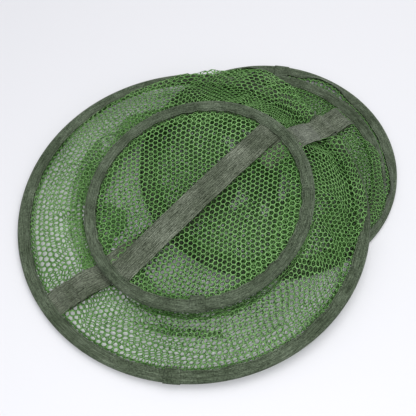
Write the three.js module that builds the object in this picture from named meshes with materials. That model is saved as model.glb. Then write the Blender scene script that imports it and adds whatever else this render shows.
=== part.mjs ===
// A folding hoop-net crab trap, pressed flat as it is stored and carried.
// Four spring-steel hoops, each bound in folded webbing, carry a tube of hexagonal netting.
// The trap stands on its mouth hoop: the closed base, with its handle strap, is on top.
// Millimetres, +Z up. The origin is the middle of the whole outline, at floor level.
import * as THREE from 'three';

// ---- Driving dimensions ----
const SEGMENTS = 36;             // straight steps round every hoop
const WIRE_RADIUS = 1.75;        // spring steel, 3.5 mm
const TAPE_THICKNESS = 0.6;
const TAPE_BULGE = 3.1;          // from the wire's middle to the outside of the tape
const TAPE_WIDTH = 14;           // from the hoop's outer edge to the tape's stitched edge
const SLOT = 0.95;               // half the room between the two flanges, where nets are sewn in
const BASE_SLOT = 1.65;          // wider on the base hoop, which also holds the handle strap
const FERRULE_LENGTH = 16;
const FERRULE_WALL = 0.4;
const FERRULE_PLAY = 0.3;        // between the wire and the ferrule's bore
const WIRE_END_GAP = 0.6;        // between the wire's two ends, inside the ferrule
const NET_THICKNESS = 0.5;
const NET_IN_SLOT = 0.45;        // height of a net's middle above or below the middle of a slot
const NET_TUCK = 6.4;            // how far in from the wire a sewn-in edge ends
const STRAP_WIDTH = 30;
const STRAP_THICKNESS = 0.9;
const STRAP_BEARING = 40;        // degrees, the side where the side straps run; the others are opposite
const HANDLE_BEARING = 43;       // degrees
const HANDLE_RISE = 3;           // the slack handle strap stands this proud in its middle
const CLEARANCE = 0.35;          // between pieces that touch
const HOOP_GAP = 0.4;            // between two stacked hoops
const CROSSING_GAP = 1.6;        // where the wide hoop lies over the third one, with net between

// Outer radius, middle in plan, and bearing in degrees of each hoop's ferrule.
const MOUTH = { name: 'mouth_hoop', radius: 151.5, x: 86, y: 71.5, ferrule: 80, slot: SLOT };
const THIRD = { name: 'third_hoop', radius: 142, x: 80, y: 62, ferrule: 150, slot: SLOT };
const WIDE = { name: 'wide_hoop', radius: 198, x: -1.3, y: -0.3, ferrule: 259, slot: SLOT };
const BASE = { name: 'base_hoop', radius: 130, x: 3, y: 1, ferrule: 265, slot: BASE_SLOT };
const BASE_LOW_EDGE = 9.8;       // height of the base hoop's wire at its lowest point
const BASE_TILT = 12.5;          // degrees
const BASE_UPHILL = 18.4;        // bearing in degrees towards which it rises

// The slack of the middle and lower nets lies folded inwards as far as these circles.
const MIDDLE_FOLD = { x: 62, y: 48, radius: 85, top: 15, bottom: 11.5 };
const LOWER_FOLD = { x: 82, y: 67, radius: 100, top: 8.4, bottom: 5.5 };
const FLOOR_NET = 2;             // height of a net that lies near the floor
const THROAT_RADIUS = 30;        // the opening in the mouth's net, gathered in
const THROAT_HEIGHT = 9;

const RAD = Math.PI / 180;
const UP = new THREE.Vector3(0, 0, 1);

// ---- Materials ----
const steel = new THREE.MeshStandardMaterial({ color: 0x9a9c9e, roughness: 0.35, metalness: 1 });
const aluminium = new THREE.MeshStandardMaterial({ color: 0xb4b6b8, roughness: 0.45, metalness: 1 });
const tape = new THREE.MeshStandardMaterial({ color: 0x4c5642, roughness: 0.9, metalness: 0 });
const webbing = new THREE.MeshStandardMaterial({ color: 0x5a6450, roughness: 0.85, metalness: 0 });
const netting = new THREE.MeshStandardMaterial({ color: 0x3f8f35, roughness: 0.8, metalness: 0 });

const trap = new THREE.Group();

function addPiece(name, geometry, material) {
  geometry.computeVertexNormals();
  const mesh = new THREE.Mesh(geometry, material);
  mesh.name = name;
  trap.add(mesh);
}

// ---- Hoop frames ----
function wireRadius(hoop) {
  return hoop.radius - TAPE_BULGE;
}

function setHoop(hoop, height, tilt, uphill) {
  hoop.centre = new THREE.Vector3(hoop.x, hoop.y, height);
  hoop.turn = new THREE.Quaternion();
  const tiltAxis = new THREE.Vector3(-Math.sin(uphill * RAD), Math.cos(uphill * RAD), 0);
  hoop.turn.setFromAxisAngle(tiltAxis, -tilt * RAD);
}

// A point at a radius and bearing in the hoop's own plane, raised off it by rise.
function onHoop(hoop, radius, bearing, rise) {
  const point = new THREE.Vector3(radius * Math.cos(bearing), radius * Math.sin(bearing), rise);
  return point.applyQuaternion(hoop.turn).add(hoop.centre);
}

// The wide hoop rests on the floor at its low edge and on the third hoop where the two cross.
function wideHoopPose() {
  const offset = Math.hypot(THIRD.x - WIDE.x, THIRD.y - WIDE.y);
  const r1 = wireRadius(WIDE);
  const r2 = wireRadius(THIRD);
  const alongSlope = (r1 * r1 + offset * offset - r2 * r2) / (2 * offset);
  const low = TAPE_BULGE + CLEARANCE;
  const high = THIRD.centre.z + 2 * TAPE_BULGE + CROSSING_GAP;
  const slope = (high - low) / (alongSlope + r1);
  const uphill = Math.atan2(THIRD.y - WIDE.y, THIRD.x - WIDE.x) / RAD;
  return { height: low + slope * r1, tilt: Math.atan(slope) / RAD, uphill };
}

setHoop(MOUTH, TAPE_BULGE, 0, 0);
setHoop(THIRD, 3 * TAPE_BULGE + HOOP_GAP, 0, 0);
const widePose = wideHoopPose();
setHoop(WIDE, widePose.height, widePose.tilt, widePose.uphill);
const baseHeight = BASE_LOW_EDGE + wireRadius(BASE) * Math.sin(BASE_TILT * RAD);
setHoop(BASE, baseHeight, BASE_TILT, BASE_UPHILL);

// ---- Solids from rows of points ----
// Each row is a closed outline; neighbouring rows are joined, and the last row meets the first
// when the solid is a ring, or both ends are capped when it is not. A thin outline's second half
// runs back along its first, so the second half's faces are split along the same diagonals.
function loftRows(rows, isRing) {
  const count = rows[0].length;
  const positions = rows.flat().flatMap((p) => [p.x, p.y, p.z]);
  const index = [];
  const last = isRing ? rows.length : rows.length - 1;
  for (let row = 0; row < last; row += 1) {
    const next = (row + 1) % rows.length;
    for (let i = 0; i < count; i += 1) {
      const j = (i + 1) % count;
      const a = row * count + i;
      const b = row * count + j;
      const c = next * count + i;
      const d = next * count + j;
      if (i < count / 2 - 0.5) {
        index.push(a, c, b, b, c, d);
      } else {
        index.push(a, c, d, a, d, b);
      }
    }
  }
  if (!isRing) {
    const end = (rows.length - 1) * count;
    for (let i = 1; i < count - 1; i += 1) {
      index.push(0, i, i + 1);
      index.push(end, end + i + 1, end + i);
    }
  }
  const geometry = new THREE.BufferGeometry();
  geometry.setAttribute('position', new THREE.Float32BufferAttribute(positions, 3));
  geometry.setIndex(signedVolume(positions, index) > 0 ? index : flipped(index));
  return geometry;
}

function signedVolume(positions, index) {
  const corner = [new THREE.Vector3(), new THREE.Vector3(), new THREE.Vector3()];
  let volume = 0;
  for (let i = 0; i < index.length; i += 3) {
    corner.forEach((v, k) => v.fromArray(positions, index[i + k] * 3));
    volume += corner[0].dot(corner[1].clone().cross(corner[2])) / 6;
  }
  return volume;
}

function flipped(index) {
  const out = [];
  for (let i = 0; i < index.length; i += 3) {
    out.push(index[i], index[i + 2], index[i + 1]);
  }
  return out;
}

function bearingOf(step) {
  return (step / SEGMENTS) * 2 * Math.PI;
}

function unitBetween(a, b) {
  return b.clone().sub(a).normalize();
}

// A thin sheet round the whole trap, along a path of points that sheetPath gives for a bearing.
function ringSheet(sheetPath) {
  const rows = [];
  for (let step = 0; step < SEGMENTS; step += 1) {
    const bearing = bearingOf(step);
    const path = sheetPath(bearing);
    const round = new THREE.Vector3(-Math.sin(bearing), Math.cos(bearing), 0);
    const above = [];
    const below = [];
    path.forEach((point, i) => {
      const along = unitBetween(path[Math.max(i - 1, 0)], path[Math.min(i + 1, path.length - 1)]);
      const out = along.cross(round).normalize().multiplyScalar(NET_THICKNESS / 2);
      above.push(point.clone().add(out));
      below.unshift(point.clone().sub(out));
    });
    rows.push([...above, ...below]);
  }
  return loftRows(rows, true);
}

const LEVEL = new THREE.Quaternion();

// A flat band of webbing along a path, as wide as the strap. Its width lies across the bearing,
// level unless turns says how it leans at each point.
function ribbon(path, bearing, turns = path.map(() => LEVEL)) {
  const rows = path.map((point, i) => {
    const across = new THREE.Vector3(-Math.sin(bearing), Math.cos(bearing), 0).applyQuaternion(turns[i]);
    const half = across.clone().multiplyScalar(STRAP_WIDTH / 2);
    const along = unitBetween(path[Math.max(i - 1, 0)], path[Math.min(i + 1, path.length - 1)]);
    const out = along.cross(across).normalize().multiplyScalar(STRAP_THICKNESS / 2);
    return [
      point.clone().add(half).add(out),
      point.clone().sub(half).add(out),
      point.clone().sub(half).sub(out),
      point.clone().add(half).sub(out),
    ];
  });
  return loftRows(rows, false);
}

// ---- Hoop wire, ferrule and binding tape ----
const BULGE_CORNERS = [112.5, 67.5, 22.5, -22.5, -67.5, -112.5]; // degrees, an octagon's corners

function octagonCorner(halfAcross) {
  return halfAcross / Math.cos(22.5 * RAD);
}

// The tape's section: round the wire, with two flanges that run in to the stitched edge.
function tapeSection(hoop) {
  const outer = octagonCorner(TAPE_BULGE);
  const inner = outer - octagonCorner(TAPE_THICKNESS);
  const flangeEnd = TAPE_BULGE - TAPE_WIDTH;
  const outside = hoop.slot + TAPE_THICKNESS;
  const round = BULGE_CORNERS.map((a) => [outer * Math.cos(a * RAD), outer * Math.sin(a * RAD)]);
  const bore = BULGE_CORNERS.map((a) => [inner * Math.cos(a * RAD), inner * Math.sin(a * RAD)]);
  const outerFoot = -Math.sqrt(outer * outer - outside * outside);
  const innerFoot = -Math.sqrt(inner * inner - hoop.slot * hoop.slot);
  return [
    [flangeEnd, outside],
    [outerFoot, outside],
    ...round,
    [outerFoot, -outside],
    [flangeEnd, -outside],
    [flangeEnd, -hoop.slot],
    [innerFoot, -hoop.slot],
    ...bore.reverse(),
    [innerFoot, hoop.slot],
    [flangeEnd, hoop.slot],
  ];
}

// The ferrule sits in the middle of one straight step.
function ferruleStep(hoop) {
  return Math.round((hoop.ferrule / 360) * SEGMENTS - 0.5);
}

function bindingTape(hoop) {
  const section = tapeSection(hoop);
  const rows = [];
  for (let step = 0; step < SEGMENTS; step += 1) {
    const bearing = bearingOf(step);
    rows.push(section.map(([r, rise]) => onHoop(hoop, wireRadius(hoop) + r, bearing, rise)));
  }
  return loftRows(rows, true);
}

function wireOutline(at, outward, radius) {
  const outline = [];
  for (let corner = 0; corner < 8; corner += 1) {
    const angle = (corner + 0.5) * 45 * RAD;
    const side = outward.clone().multiplyScalar(radius * Math.cos(angle));
    outline.push(at.clone().add(side).addScaledVector(UP, radius * Math.sin(angle)));
  }
  return outline;
}

// Hoop wire and ferrule are made in a level hoop about the origin, then tilted into place.
function placeOnHoop(geometry, hoop) {
  geometry.applyQuaternion(hoop.turn);
  geometry.translate(hoop.centre.x, hoop.centre.y, hoop.centre.z);
  return geometry;
}

function ferruleFrame(hoop) {
  const from = bearingOf(ferruleStep(hoop));
  const to = bearingOf(ferruleStep(hoop) + 1);
  const middle = (from + to) / 2;
  const outward = new THREE.Vector3(Math.cos(middle), Math.sin(middle), 0);
  const along = new THREE.Vector3(-Math.sin(middle), Math.cos(middle), 0);
  const distance = wireRadius(hoop) * Math.cos((to - from) / 2);
  return { outward, along, centre: outward.clone().multiplyScalar(distance) };
}

function hoopWire(hoop) {
  const { outward, along, centre } = ferruleFrame(hoop);
  const rows = [wireOutline(centre.clone().addScaledVector(along, WIRE_END_GAP / 2), outward, WIRE_RADIUS)];
  for (let step = 1; step <= SEGMENTS; step += 1) {
    const bearing = bearingOf(ferruleStep(hoop) + step);
    const out = new THREE.Vector3(Math.cos(bearing), Math.sin(bearing), 0);
    rows.push(wireOutline(out.clone().multiplyScalar(wireRadius(hoop)), out, WIRE_RADIUS));
  }
  rows.push(wireOutline(centre.clone().addScaledVector(along, -WIRE_END_GAP / 2), outward, WIRE_RADIUS));
  return placeOnHoop(loftRows(rows, false), hoop);
}

function ferrule(hoop) {
  const { outward, along, centre } = ferruleFrame(hoop);
  const bore = WIRE_RADIUS + FERRULE_PLAY;
  const ends = [-FERRULE_LENGTH / 2, FERRULE_LENGTH / 2].map((d) => centre.clone().addScaledVector(along, d));
  const rows = [
    wireOutline(ends[0], outward, bore),
    wireOutline(ends[0], outward, bore + FERRULE_WALL),
    wireOutline(ends[1], outward, bore + FERRULE_WALL),
    wireOutline(ends[1], outward, bore),
  ];
  return placeOnHoop(loftRows(rows, true), hoop);
}

for (const hoop of [MOUTH, THIRD, WIDE, BASE]) {
  addPiece(`${hoop.name}_wire`, hoopWire(hoop), steel);
  addPiece(`${hoop.name}_ferrule`, ferrule(hoop), aluminium);
  addPiece(`${hoop.name}_tape`, bindingTape(hoop), tape);
}

// ---- Base net and handle strap ----
const BASE_SIDE_NET_RISE = -1.05; // where the upper side net enters the base hoop's slot
const BASE_NET_RISE = -0.2;
const HANDLE_RISE_IN_SLOT = 0.85;

function baseNet() {
  const radius = wireRadius(BASE) - NET_TUCK;
  const disc = new THREE.CylinderGeometry(radius, radius, NET_THICKNESS, SEGMENTS);
  disc.rotateX(90 * RAD);
  disc.translate(0, 0, BASE_NET_RISE);
  return placeOnHoop(disc, BASE);
}

function handleStrap() {
  const bearing = HANDLE_BEARING * RAD;
  const reach = wireRadius(BASE) - NET_TUCK - 1.5;
  const flangeEdge = BASE.radius - TAPE_WIDTH - 1;
  const free = [-1, -0.7, -0.35, 0, 0.35, 0.7, 1].map((t) => [t * flangeEdge, HANDLE_RISE * (1 - t * t)]);
  const stations = [[-reach, 0], ...free, [reach, 0]];
  const path = stations.map(([r, rise]) => onHoop(BASE, r, bearing, HANDLE_RISE_IN_SLOT + rise));
  return ribbon(path, bearing, path.map(() => BASE.turn));
}

addPiece('base_net', baseNet(), netting);
addPiece('handle_strap', handleStrap(), webbing);

// ---- Side nets ----
function tuckedEdge(hoop) {
  return wireRadius(hoop) - NET_TUCK;
}

function slotMouth(hoop) {
  return hoop.radius - TAPE_WIDTH - 1.5;
}

const UNDER_BASE_TAPE = -5.6;    // the upper side net turns out below the base hoop's tape

// From the base hoop's slot, round below its tape, down and out to the wide hoop's slot.
function upperNetPath(bearing) {
  const path = [
    onHoop(BASE, tuckedEdge(BASE), bearing, BASE_SIDE_NET_RISE),
    onHoop(BASE, slotMouth(BASE), bearing, BASE_SIDE_NET_RISE),
    onHoop(BASE, slotMouth(BASE) - 1.5, bearing, -2.9),
    onHoop(BASE, slotMouth(BASE) + 2, bearing, UNDER_BASE_TAPE),
    onHoop(BASE, BASE.radius + 2, bearing, UNDER_BASE_TAPE),
  ];
  const shoulder = onHoop(WIDE, slotMouth(WIDE) - 9, bearing, 4.5);
  path.push(path[4].clone().lerp(shoulder, 0.5));
  path.push(shoulder);
  path.push(onHoop(WIDE, slotMouth(WIDE), bearing, NET_IN_SLOT));
  path.push(onHoop(WIDE, tuckedEdge(WIDE), bearing, NET_IN_SLOT));
  return path;
}

function onCircle(circle, radius, bearing, height) {
  return new THREE.Vector3(
    circle.x + radius * Math.cos(bearing),
    circle.y + radius * Math.sin(bearing),
    height,
  );
}

// Height of the middle net's slack: near the floor outside the third hoop, over its tape inside.
function slackHeight(point) {
  const away = Math.hypot(point.x - THIRD.x, point.y - THIRD.y) - THIRD.radius;
  return MIDDLE_FOLD.top - (MIDDLE_FOLD.top - FLOOR_NET) * THREE.MathUtils.smoothstep(away, 22, 62);
}

// From the wide hoop's slot inwards to the fold, and back out to the third hoop's slot.
function middleNetPath(bearing) {
  const mouth = onHoop(WIDE, slotMouth(WIDE), bearing, -NET_IN_SLOT);
  const fold = onCircle(MIDDLE_FOLD, MIDDLE_FOLD.radius, bearing, MIDDLE_FOLD.top);
  const path = [onHoop(WIDE, tuckedEdge(WIDE), bearing, -NET_IN_SLOT), mouth];
  for (const t of [0.12, 0.3, 0.5, 0.7, 0.85]) {
    const point = mouth.clone().lerp(fold, t);
    point.z = THREE.MathUtils.lerp(mouth.z, slackHeight(point), Math.min(1, t / 0.25));
    path.push(point);
  }
  path.push(fold);
  path.push(onCircle(MIDDLE_FOLD, MIDDLE_FOLD.radius - 2, bearing, (MIDDLE_FOLD.top + MIDDLE_FOLD.bottom) / 2));
  path.push(onCircle(MIDDLE_FOLD, MIDDLE_FOLD.radius, bearing, MIDDLE_FOLD.bottom));
  path.push(onHoop(THIRD, slotMouth(THIRD), bearing, NET_IN_SLOT));
  path.push(onHoop(THIRD, tuckedEdge(THIRD), bearing, NET_IN_SLOT));
  return path;
}

// From the third hoop's slot inwards to the fold, and back out to the mouth hoop's slot.
function lowerNetPath(bearing) {
  return [
    onHoop(THIRD, tuckedEdge(THIRD), bearing, -NET_IN_SLOT),
    onHoop(THIRD, slotMouth(THIRD), bearing, -NET_IN_SLOT),
    onCircle(LOWER_FOLD, LOWER_FOLD.radius, bearing, LOWER_FOLD.top),
    onCircle(LOWER_FOLD, LOWER_FOLD.radius - 2, bearing, (LOWER_FOLD.top + LOWER_FOLD.bottom) / 2),
    onCircle(LOWER_FOLD, LOWER_FOLD.radius, bearing, LOWER_FOLD.bottom),
    onHoop(MOUTH, slotMouth(MOUTH), bearing, NET_IN_SLOT),
    onHoop(MOUTH, tuckedEdge(MOUTH), bearing, NET_IN_SLOT),
  ];
}

// From the mouth hoop's slot in along the floor, then up to the throat's open edge.
function throatPath(bearing) {
  return [
    onHoop(MOUTH, tuckedEdge(MOUTH), bearing, -NET_IN_SLOT),
    onHoop(MOUTH, slotMouth(MOUTH), bearing, -NET_IN_SLOT),
    onCircle(MOUTH, 118, bearing, FLOOR_NET - 0.3),
    onCircle(MOUTH, 74, bearing, FLOOR_NET),
    onCircle(MOUTH, THROAT_RADIUS, bearing, THROAT_HEIGHT),
  ];
}

addPiece('upper_side_net', ringSheet(upperNetPath), netting);
addPiece('middle_side_net', ringSheet(middleNetPath), netting);
addPiece('lower_side_net', ringSheet(lowerNetPath), netting);
addPiece('throat_net', ringSheet(throatPath), netting);

// ---- Side straps: the right-hand run and the left-hand run are opposite each other ----
const ON_FLANGE = SLOT + TAPE_THICKNESS + CLEARANCE + STRAP_THICKNESS / 2;
const STRAP_OVER_NET = 2;

// Outside the upper side net, from below the base hoop's tape to the top of the wide hoop's flange.
function upperStrap(bearing) {
  const net = upperNetPath(bearing);
  const raise = (point) => point.clone().addScaledVector(UP, STRAP_OVER_NET);
  const belowTape = -TAPE_BULGE - CLEARANCE - STRAP_THICKNESS / 2;
  const start = onHoop(BASE, BASE.radius - 8, bearing, belowTape);
  const edge = onHoop(BASE, BASE.radius + 2, bearing, belowTape);
  const end = onHoop(WIDE, wireRadius(WIDE) - 4, bearing, ON_FLANGE);
  const flangeEdge = onHoop(WIDE, WIDE.radius - TAPE_WIDTH + 1, bearing, ON_FLANGE);
  const halfway = BASE.turn.clone().slerp(WIDE.turn, 0.5);
  const turns = [BASE.turn, BASE.turn, halfway, WIDE.turn, WIDE.turn, WIDE.turn];
  return ribbon([start, edge, raise(net[5]), raise(net[6]), flangeEdge, end], bearing, turns);
}

function alongBearing(distance, bearing, height) {
  return new THREE.Vector3(distance * Math.cos(bearing), distance * Math.sin(bearing), height);
}

// How far out, along a bearing from the wide hoop's middle, another hoop's outer edge lies.
function edgeAlong(hoop, bearing) {
  return hoop.x * Math.cos(bearing) + hoop.y * Math.sin(bearing) + hoop.radius;
}

// On the right the third hoop lies outside the wide one, so its strap runs out and down to it.
function middleStrapRight(bearing) {
  const wideEdge = onHoop(WIDE, WIDE.radius + 1, bearing, 0).z;
  const thirdTop = THIRD.centre.z + ON_FLANGE;
  const thirdEdge = edgeAlong(THIRD, bearing);
  return ribbon([
    alongBearing(WIDE.radius + 1, bearing, wideEdge),
    alongBearing(WIDE.radius + 7, bearing, wideEdge - 2),
    alongBearing(thirdEdge - TAPE_WIDTH, bearing, thirdTop),
    alongBearing(thirdEdge - 7.5, bearing, thirdTop),
  ], bearing);
}

// On the left it runs along the floor, below the net, and up to the third hoop's outer edge.
function middleStrapLeft(bearing) {
  const thirdEdge = edgeAlong(THIRD, bearing);
  const onFloor = 0.9;
  return ribbon([
    alongBearing(WIDE.radius - TAPE_WIDTH + 3, bearing, onFloor),
    alongBearing(thirdEdge + 22, bearing, onFloor),
    alongBearing(thirdEdge + 4.5, bearing, THIRD.centre.z - 1),
    alongBearing(thirdEdge + 0.9, bearing, THIRD.centre.z + 0.6),
  ], bearing);
}

function lowerStrapRight(bearing) {
  const thirdEdge = edgeAlong(THIRD, bearing);
  const mouthEdge = edgeAlong(MOUTH, bearing);
  const mouthTop = MOUTH.centre.z + ON_FLANGE;
  return ribbon([
    alongBearing(thirdEdge + 0.9, bearing, THIRD.centre.z),
    alongBearing(thirdEdge + 3.6, bearing, mouthTop + 1),
    alongBearing(mouthEdge - TAPE_WIDTH + 2, bearing, mouthTop),
    alongBearing(mouthEdge - 7.5, bearing, mouthTop),
  ], bearing);
}

function lowerStrapLeft(bearing) {
  const out = edgeAlong(THIRD, bearing) + 1;
  return ribbon([
    alongBearing(out, bearing, THIRD.centre.z - 1.7),
    alongBearing(out, bearing, MOUTH.centre.z - 1.5),
  ], bearing);
}

const rightBearing = STRAP_BEARING * RAD;
const leftBearing = rightBearing + Math.PI;
addPiece('upper_strap_right', upperStrap(rightBearing), webbing);
addPiece('upper_strap_left', upperStrap(leftBearing), webbing);
addPiece('middle_strap_right', middleStrapRight(rightBearing), webbing);
addPiece('middle_strap_left', middleStrapLeft(leftBearing), webbing);
addPiece('lower_strap_right', lowerStrapRight(rightBearing), webbing);
addPiece('lower_strap_left', lowerStrapLeft(leftBearing), webbing);

// ---- Put the origin at the middle of the outline, at floor level ----
const outline = new THREE.Box3().setFromObject(trap);
trap.position.set(-(outline.min.x + outline.max.x) / 2, -(outline.min.y + outline.max.y) / 2, -outline.min.z);
trap.updateMatrixWorld(true);

export default trap;
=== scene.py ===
"""The looks of a folding hoop-net crab trap, pressed flat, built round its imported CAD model.

Four steel hoops, each bound in folded webbing, carry a tube of knitted hexagonal netting.
Shapes are worked out in millimetres in the row frame, and become metres when a mesh is made.
"""
import math

import bpy
import numpy as np
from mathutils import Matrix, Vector


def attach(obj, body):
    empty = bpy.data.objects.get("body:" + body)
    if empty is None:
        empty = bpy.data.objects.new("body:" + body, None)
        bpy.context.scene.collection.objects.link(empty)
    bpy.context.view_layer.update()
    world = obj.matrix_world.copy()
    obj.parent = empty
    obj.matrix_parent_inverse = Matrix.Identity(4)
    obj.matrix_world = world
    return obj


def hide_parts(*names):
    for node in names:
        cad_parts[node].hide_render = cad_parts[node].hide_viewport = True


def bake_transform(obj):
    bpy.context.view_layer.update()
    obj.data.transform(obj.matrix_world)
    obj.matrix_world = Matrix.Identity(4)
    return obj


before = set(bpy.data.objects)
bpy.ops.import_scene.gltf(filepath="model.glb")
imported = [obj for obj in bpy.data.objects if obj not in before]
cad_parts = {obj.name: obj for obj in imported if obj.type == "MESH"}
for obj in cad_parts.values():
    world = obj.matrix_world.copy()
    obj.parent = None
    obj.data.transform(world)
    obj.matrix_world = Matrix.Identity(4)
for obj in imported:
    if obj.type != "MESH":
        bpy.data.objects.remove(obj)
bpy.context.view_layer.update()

# ---- Driving dimensions, in millimetres ----
MM = 0.001
TAPE_BULGE = 3.1      # from the wire's middle to the outside of the tape
TAPE_WIDTH = 14.0     # from the hoop's outer edge to the tape's stitched edge
TAPE_THICKNESS = 0.6
SLOT = 0.95           # half the room between a tape's flanges
BASE_SLOT = 1.65
NET_TUCK = 6.4        # how far in from the wire a sewn-in edge ends
SEAM = 1.5            # from the tape's stitched edge in to where a net comes free
NET_IN_SLOT = 0.45
PITCH = 6.0           # between the middles of neighbouring holes in the netting
BASE_STRAND = 1.6     # width of the strands in the stretched base net,
UPPER_STRAND = 1.25   # in the net below it,
LOWER_STRAND = 1.0    # and in the nets nearer the floor
STRAND_RISE = 0.45    # half their height
CLOTH = 170.0         # depth of each side net between its two hoops
THROAT_CLOTH = 200.0  # and of the throat net
STRAP_WIDTH = 30.0
STRAP_THICKNESS = 1.0
STRAP_BEARING = math.radians(36.5)
HANDLE_BEARING = math.radians(43)
HANDLE_RISE = 3.0     # how far the slack handle strap stands up in its middle
TURN = 2 * math.pi
SQRT3 = math.sqrt(3)


# ---- Hoops, read from the frame ----
KNOT_BLUR = (-4, -2, 0, 2, 4)  # degrees either side that a value is averaged over


def along_bearing(bearing, knots):
    """A value that changes smoothly with bearing, from (degrees, value) knots."""
    places, values = np.array(knots, float).T
    at = np.degrees(bearing)
    around = [np.interp(at + step, places, values, period=360) for step in KNOT_BLUR]
    return sum(around) / len(KNOT_BLUR)


class Hoop:
    """A hoop's middle, plane and radius, worked out from its CAD tape."""

    def __init__(self, body, slot, leans=((0, 0),)):
        """leans gives (bearing, angle) in degrees: how far the tape is twisted up round the wire."""
        self.body = body
        self.slot = slot
        self.leans = leans
        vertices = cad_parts[body + "_tape"].data.vertices
        points = np.unique(np.round([v.co[:] for v in vertices], 6), axis=0) / MM
        self.centre = points.mean(0)
        normal = np.linalg.svd(points - self.centre, full_matrices=False)[2][2]
        normal = normal * np.sign(normal[2])
        self.turn = np.array(Vector((0, 0, 1)).rotation_difference(Vector(normal)).to_matrix())
        flat = (points - self.centre) @ self.turn
        self.radius = float(np.hypot(flat[:, 0], flat[:, 1]).max())
        self.wire = self.radius - TAPE_BULGE
        self.tuck = self.wire - NET_TUCK
        self.mouth = self.radius - TAPE_WIDTH - SEAM

    def at(self, radius, bearing, rise):
        """Points at a radius and bearing in the hoop's own plane, raised off it by rise."""
        radius, bearing, rise = np.broadcast_arrays(radius, bearing, rise)
        flat = np.stack([radius * np.cos(bearing), radius * np.sin(bearing), rise], -1)
        return flat @ self.turn.T + self.centre

    def line(self, bearing, radius, *rows):
        """Points at a bearing, from rows of (distance out from a radius, rise)."""
        return [self.at(radius + out, bearing, rise) for out, rise in rows]

    def flange(self, across, bearing, rise):
        """Points on the tape: across is out from the wire's middle, turned with the tape's lean."""
        lean = np.radians(along_bearing(bearing, self.leans))
        out = across * np.cos(lean) + rise * np.sin(lean)
        up = rise * np.cos(lean) - across * np.sin(lean)
        return self.at(self.wire + out, bearing, up)


# Where the mouth hoop's tape is twisted up round its wire: bearing and angle, in degrees.
MOUTH_LEANS = ((300, 0), (320, 50), (345, 60), (353, 42), (2, 14), (12, 6), (42, 8), (50, 44), (63, 44),
               (70, 6), (88, 4), (95, 50), (107, 52), (118, 8), (130, 0))
MOUTH = Hoop("mouth_hoop", SLOT, MOUTH_LEANS)
THIRD = Hoop("third_hoop", SLOT)
WIDE = Hoop("wide_hoop", SLOT)
BASE = Hoop("base_hoop", BASE_SLOT)
# Each hoop, the bearing in degrees of its tape's lap, and the seed of the tape's waves.
LAPS = ((MOUTH, 81, 101), (THIRD, 150, 111), (WIDE, 264, 121), (BASE, 270.5, 131))


# ---- Small tools ----
def smoothstep(x, low, high):
    t = np.clip((x - low) / (high - low), 0, 1)
    return t * t * (3 - 2 * t)


def lerp(a, b, t):
    return a + (b - a) * t


def unit(vectors):
    return vectors / np.linalg.norm(vectors, axis=-1, keepdims=True)


def outward(bearing):
    return np.stack([np.cos(bearing), np.sin(bearing), np.zeros_like(bearing)], -1)


def at_height(points, height):
    lifted = points.copy()
    lifted[..., 2] = height
    return lifted


CORNER_CUTS = 3


def rounded(path):
    """The path with its corners cut. Each of its points may be an array of points, one a bearing."""
    points = np.stack(path, -2)
    for _ in range(CORNER_CUTS):
        a, b = points[..., :-1, :], points[..., 1:, :]
        cut = np.stack([0.75 * a + 0.25 * b, 0.25 * a + 0.75 * b], -2)
        cut = cut.reshape(*points.shape[:-2], -1, 3)
        points = np.concatenate([points[..., :1, :], cut, points[..., -1:, :]], -2)
    return points


def lengths_along(points):
    """How far along its line each point lies, from 0 at the first."""
    steps = np.linalg.norm(np.diff(points, axis=-2), axis=-1)
    return np.concatenate([np.zeros((*steps.shape[:-1], 1)), np.cumsum(steps, -1)], -1)


def equal_steps(line, count):
    """The same line, as count points at equal steps."""
    length = lengths_along(line)
    at = np.linspace(0, length[-1], count)
    return np.stack([np.interp(at, length, values) for values in line.T], -1)


RIPPLE_SINES = 6


def ripple(x, y, seed, waves):
    """A smooth random value, about -1 to 1. x is a bearing, so it repeats; waves is (round, along)."""
    random = np.random.RandomState(seed)
    total = 0
    for _ in range(RIPPLE_SINES):
        turns = random.randint(max(1, waves[0] // 2), waves[0] + 1)
        along = random.uniform(-1, 1) * waves[1]
        phase = random.uniform(0, TURN)
        total = total + np.sin(turns * x + along * y + phase)
    return total / math.sqrt(RIPPLE_SINES)


def near(bearing, middle, half_width, soft):
    """1 within half_width degrees of a bearing in degrees, falling smoothly to 0 over soft degrees."""
    away = np.abs((np.degrees(bearing) - middle + 180) % 360 - 180)
    return 1 - smoothstep(away, half_width, half_width + soft)


def pinned(bearing, half_width=8, soft=5):
    """1 where the side straps hold the nets close, 0 elsewhere."""
    strap = math.degrees(STRAP_BEARING)
    return near(bearing, strap, half_width, soft) + near(bearing, strap + 180, half_width, soft)


def add_object(name, data):
    made = bpy.data.objects.new(name, data)
    bpy.context.scene.collection.objects.link(made)
    return made


def new_mesh(name, points, faces, smooth=True):
    """A new object in the scene, from points in millimetres and a list of faces."""
    mesh = bpy.data.meshes.new(name)
    mesh.from_pydata((points * MM).tolist(), [], faces)
    mesh.polygons.foreach_set("use_smooth", [smooth] * len(mesh.polygons))
    mesh.update()
    return add_object(name, mesh)


def set_uv(piece, per_vertex):
    """Stores a UV in metres for each vertex: along the piece, then across it."""
    layer = piece.data.uv_layers.new(name="weave")
    corner = np.zeros(len(piece.data.loops), np.int32)
    piece.data.loops.foreach_get("vertex_index", corner)
    layer.data.foreach_set("uv", (per_vertex * MM)[corner].astype(np.float32).ravel())


# ---- Netting ----
CORNER_ANGLES = np.radians([90, 150, 210, 270, 330, 30])  # of a cell, north first


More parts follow.
